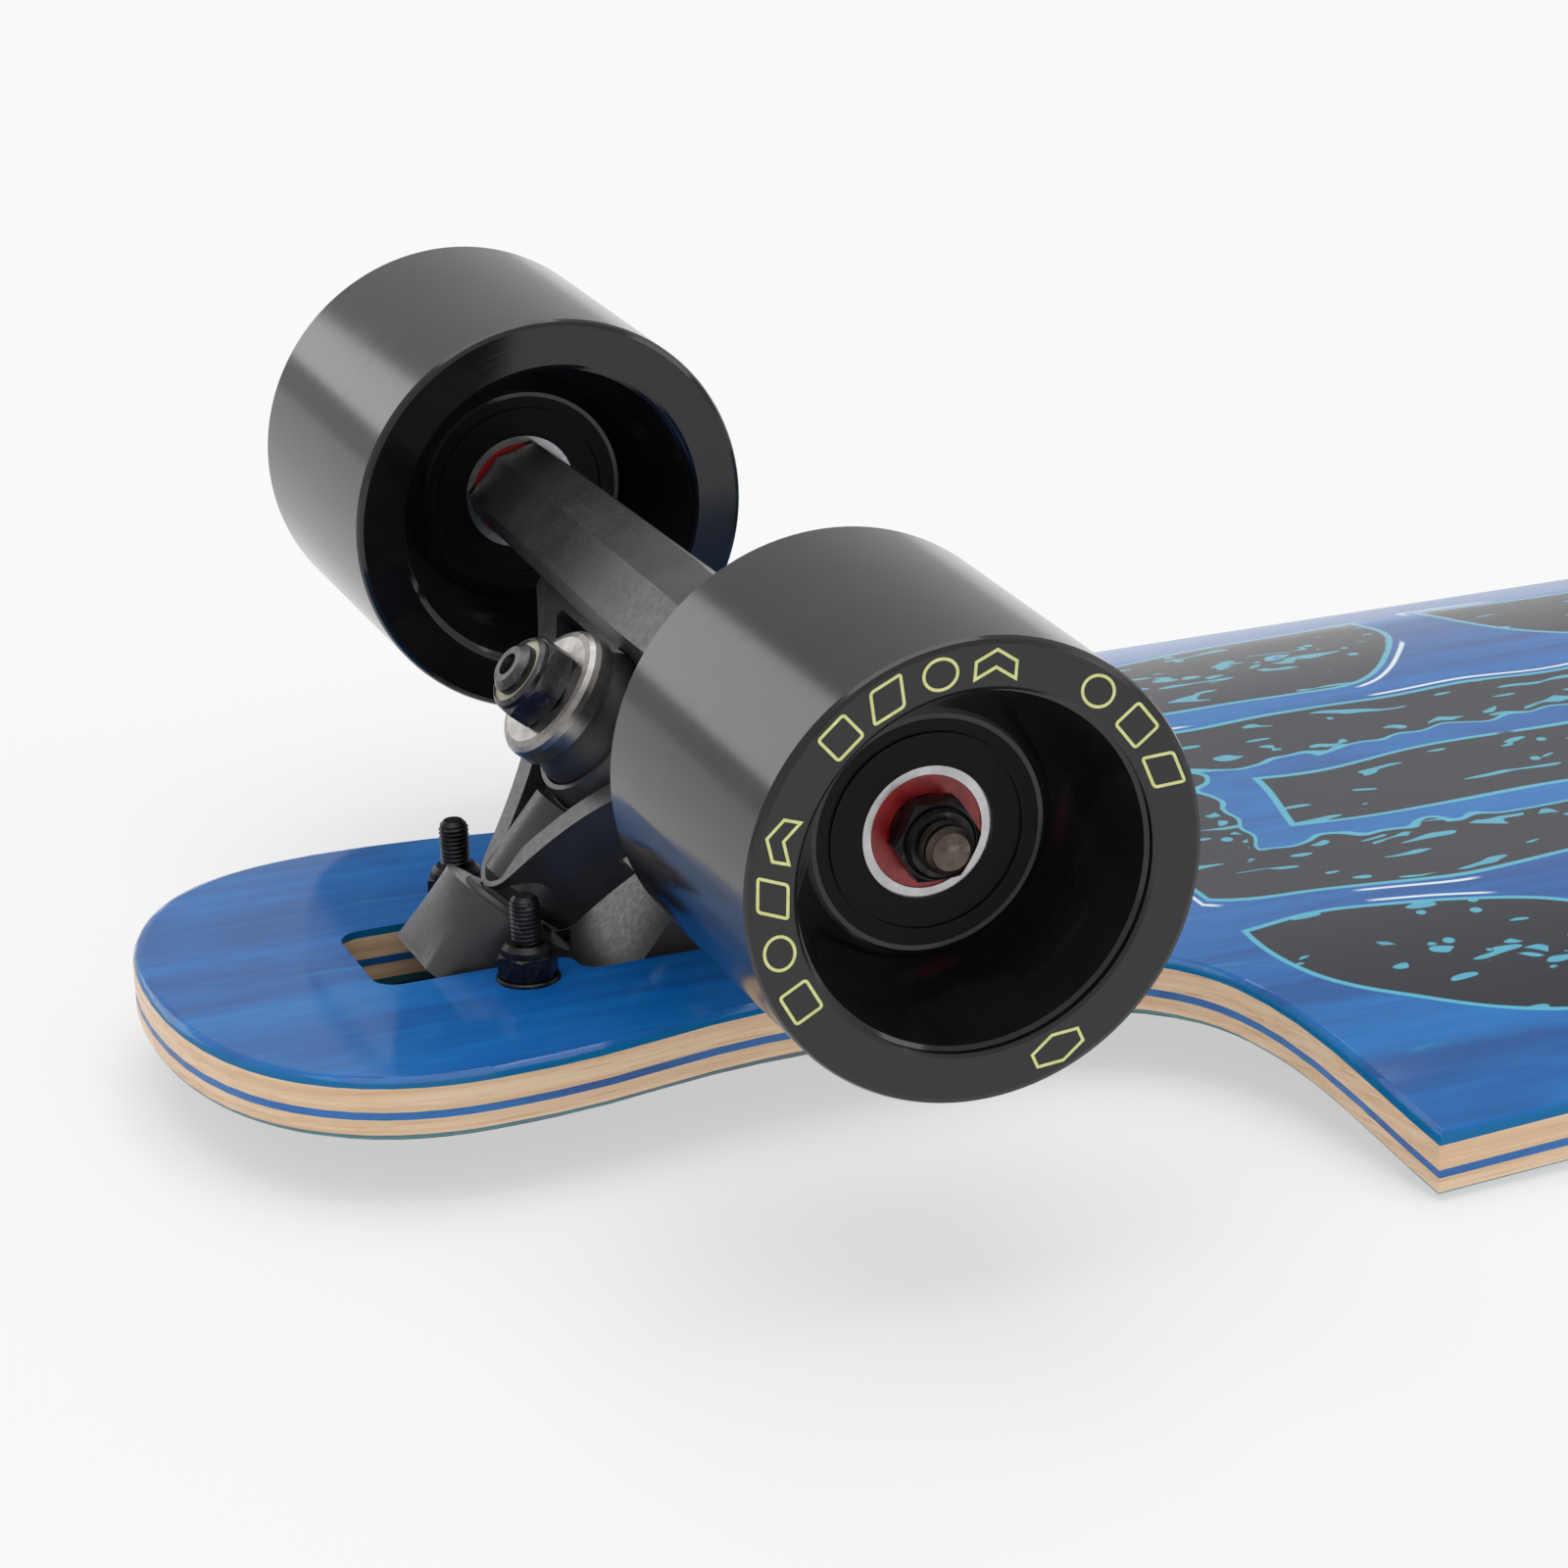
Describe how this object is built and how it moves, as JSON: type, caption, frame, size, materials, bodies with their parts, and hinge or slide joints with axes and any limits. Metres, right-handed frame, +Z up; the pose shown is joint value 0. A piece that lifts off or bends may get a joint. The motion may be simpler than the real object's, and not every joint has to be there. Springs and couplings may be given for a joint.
{
  "type": "longboard skateboard",
  "caption": "Drop-through longboard stored belly up: laminated maple deck, grip tape, two reverse-kingpin trucks that steer and wheels that spin on ball bearings.",
  "frame": {"origin": "bottom centre of the whole board as it lies belly up: on the ground plane under the middle of the deck", "axes": "+X along the board from the nose end to the tail end, +Y across it, +Z up towards the wheels; turned over half way about X it stands on its wheels ready to ride"},
  "size_m": [1.016, 0.2718, 0.1137],
  "materials": {
    "stained_blue_ply": "blue-stained maple veneer under clear gloss lacquer",
    "maple_ply": "natural maple veneer, sealed edge",
    "stained_teal_ply": "teal-stained maple veneer under clear lacquer",
    "griptape": "coarse black silicon-carbide grit on a backing sheet",
    "black_paint": "satin black paint on cast aluminium",
    "black_urethane": "satin black urethane",
    "dark_steel": "dark plated steel with worn edges",
    "black_oxide": "black oxide steel",
    "washer_steel": "pressed steel, dull plating",
    "bearing_steel": "ground bearing steel",
    "red_shield": "red lacquered steel shield",
    "nylon_insert": "cream nylon",
    "wheel_urethane": "gloss black cast urethane",
    "core_plastic": "black moulded nylon"
  },
  "bodies": {
    "root": {"deck_ply_1": "stained_blue_ply", "deck_ply_2": "maple_ply", "deck_ply_3": "maple_ply", "deck_ply_4": "maple_ply", "deck_ply_5": "stained_blue_ply", "deck_ply_6": "maple_ply", "deck_ply_7": "maple_ply", "deck_ply_8": "stained_teal_ply", "griptape": "griptape", "kingpin_nut_inserts": "nylon_insert", "mounting_bolts": "black_oxide", "mounting_nuts": "black_oxide", "nose_baseplate": "black_paint", "nose_pivot_cup": "black_urethane", "nose_kingpin": "dark_steel", "nose_kingpin_nut": "dark_steel", "nose_roadside_cup_washer": "washer_steel", "nose_boardside_cup_washer": "washer_steel", "nose_roadside_bushing": "black_urethane", "nose_boardside_bushing": "black_urethane", "tail_baseplate": "black_paint", "tail_pivot_cup": "black_urethane", "tail_kingpin": "dark_steel", "tail_kingpin_nut": "dark_steel", "tail_roadside_cup_washer": "washer_steel", "tail_boardside_cup_washer": "washer_steel", "tail_roadside_bushing": "black_urethane", "tail_boardside_bushing": "black_urethane"},
    "nose_hanger": {"nose_hanger": "black_paint", "nose_axle": "dark_steel", "nose_speed_washers": "washer_steel", "nose_axle_nuts": "black_oxide", "nose_inner_races": "bearing_steel", "nose_bearing_spacers": "bearing_steel"},
    "nose_left_wheel": {"nose_left_tyre": "wheel_urethane", "nose_left_core": "core_plastic", "nose_left_outer_races": "bearing_steel", "nose_left_shields": "red_shield", "nose_left_balls": "bearing_steel"},
    "nose_right_wheel": {"nose_right_tyre": "wheel_urethane", "nose_right_core": "core_plastic", "nose_right_outer_races": "bearing_steel", "nose_right_shields": "red_shield", "nose_right_balls": "bearing_steel"},
    "tail_hanger": {"tail_hanger": "black_paint", "tail_axle": "dark_steel", "tail_speed_washers": "washer_steel", "tail_axle_nuts": "black_oxide", "tail_inner_races": "bearing_steel", "tail_bearing_spacers": "bearing_steel"},
    "tail_left_wheel": {"tail_left_tyre": "wheel_urethane", "tail_left_core": "core_plastic", "tail_left_outer_races": "bearing_steel", "tail_left_shields": "red_shield", "tail_left_balls": "bearing_steel"},
    "tail_right_wheel": {"tail_right_tyre": "wheel_urethane", "tail_right_core": "core_plastic", "tail_right_outer_races": "bearing_steel", "tail_right_shields": "red_shield", "tail_right_balls": "bearing_steel"}
  },
  "joints": [
    {"name": "nose_steer", "type": "hinge", "parent": "root", "child": "nose_hanger", "pos_m": [-0.41883, 0, 0.05594], "axis": [0.6428, 0, 0.766], "range_deg": [-15, 15], "stiffness_Nm_per_rad": 40, "deforming": ["nose_roadside_bushing", "nose_boardside_bushing"]},
    {"name": "nose_left_spin", "type": "hinge", "parent": "nose_hanger", "child": "nose_left_wheel", "pos_m": [-0.4075, 0.103, 0.07567], "axis": [0, 1, 0], "continuous": true},
    {"name": "nose_right_spin", "type": "hinge", "parent": "nose_hanger", "child": "nose_right_wheel", "pos_m": [-0.4075, -0.103, 0.07567], "axis": [0, 1, 0], "continuous": true},
    {"name": "tail_steer", "type": "hinge", "parent": "root", "child": "tail_hanger", "pos_m": [0.41883, 0, 0.05594], "axis": [-0.6428, 0, 0.766], "range_deg": [-15, 15], "stiffness_Nm_per_rad": 40, "deforming": ["tail_roadside_bushing", "tail_boardside_bushing"]},
    {"name": "tail_left_spin", "type": "hinge", "parent": "tail_hanger", "child": "tail_left_wheel", "pos_m": [0.4075, 0.103, 0.07567], "axis": [0, 1, 0], "continuous": true},
    {"name": "tail_right_spin", "type": "hinge", "parent": "tail_hanger", "child": "tail_right_wheel", "pos_m": [0.4075, -0.103, 0.07567], "axis": [0, 1, 0], "continuous": true}
  ]
}
